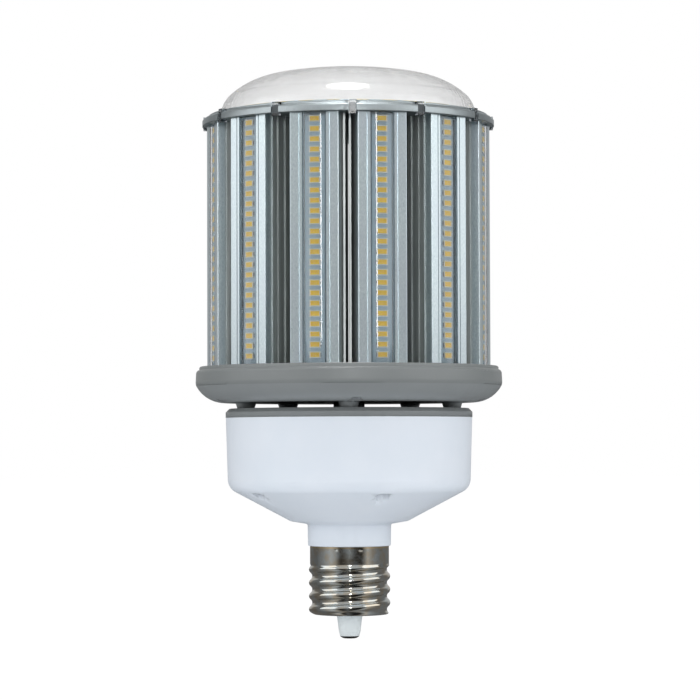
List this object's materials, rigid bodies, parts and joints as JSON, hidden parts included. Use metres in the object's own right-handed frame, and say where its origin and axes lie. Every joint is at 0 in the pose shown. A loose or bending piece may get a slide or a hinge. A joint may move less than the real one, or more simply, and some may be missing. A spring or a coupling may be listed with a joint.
{
  "type": "led light bulb",
  "caption": "High-power LED corn lamp: mogul screw cap, round driver housing, LED strips round a finned heat sink, clear dome on top.",
  "frame": {"origin": "centre of the end face of the centre contact, the lowest point of the lamp", "axes": "+Z along the lamp's axis from the screw cap to the dome; the seam between the two heat-sink halves that the picture shows faces -Y; +X to the right of that seam as seen from -Y"},
  "size_m": [0.1474, 0.1474, 0.2735],
  "materials": {
    "contact_metal": "dull dark metal",
    "white_plastic": "satin moulded plastic, cool white",
    "nickel_shell": "bright nickel-plated rolled sheet",
    "grey_plastic": "satin moulded plastic, mid grey",
    "circuit_board": "solder-masked laminate",
    "ferrite": "dull dark ferrite",
    "can_aluminium": "sleeved can",
    "extruded_aluminium": "satin anodised extrusion",
    "turned_aluminium": "bare turned aluminium",
    "clear_plastic": "clear moulded plastic",
    "led_board": "pale solder mask on metal-core board",
    "led_phosphor": "yellow phosphor gel in a pale frame",
    "screw_steel": "zinc-plated steel"
  },
  "bodies": {
    "root": {"centre_contact": "contact_metal", "base_insulator": "white_plastic", "screw_shell": "nickel_shell", "driver_housing": "white_plastic", "housing_lid": "grey_plastic", "driver_board": "circuit_board", "driver_transformer": "ferrite", "driver_capacitors": "can_aluminium", "driver_choke": "ferrite", "base_dish": "grey_plastic", "base_ring": "grey_plastic", "heat_sink_right": "extruded_aluminium", "heat_sink_left": "extruded_aluminium", "top_plate": "turned_aluminium", "dome_cover": "clear_plastic", "top_board": "led_board", "top_leds": "led_phosphor", "housing_screws": "screw_steel", "post_screws": "screw_steel", "dish_screws": "screw_steel", "sink_screws": "screw_steel", "board_screws": "screw_steel", "led_board_01": "led_board", "led_set_01": "led_phosphor", "strip_cover_01": "clear_plastic", "led_board_02": "led_board", "led_set_02": "led_phosphor", "strip_cover_02": "clear_plastic", "led_board_03": "led_board", "led_set_03": "led_phosphor", "strip_cover_03": "clear_plastic", "led_board_04": "led_board", "led_set_04": "led_phosphor", "strip_cover_04": "clear_plastic", "led_board_05": "led_board", "led_set_05": "led_phosphor", "strip_cover_05": "clear_plastic", "led_board_06": "led_board", "led_set_06": "led_phosphor", "strip_cover_06": "clear_plastic", "led_board_07": "led_board", "led_set_07": "led_phosphor", "strip_cover_07": "clear_plastic", "led_board_08": "led_board", "led_set_08": "led_phosphor", "strip_cover_08": "clear_plastic", "led_board_09": "led_board", "led_set_09": "led_phosphor", "strip_cover_09": "clear_plastic", "led_board_10": "led_board", "led_set_10": "led_phosphor", "strip_cover_10": "clear_plastic", "led_board_11": "led_board", "led_set_11": "led_phosphor", "strip_cover_11": "clear_plastic", "led_board_12": "led_board", "led_set_12": "led_phosphor", "strip_cover_12": "clear_plastic"}
  },
  "joints": []
}
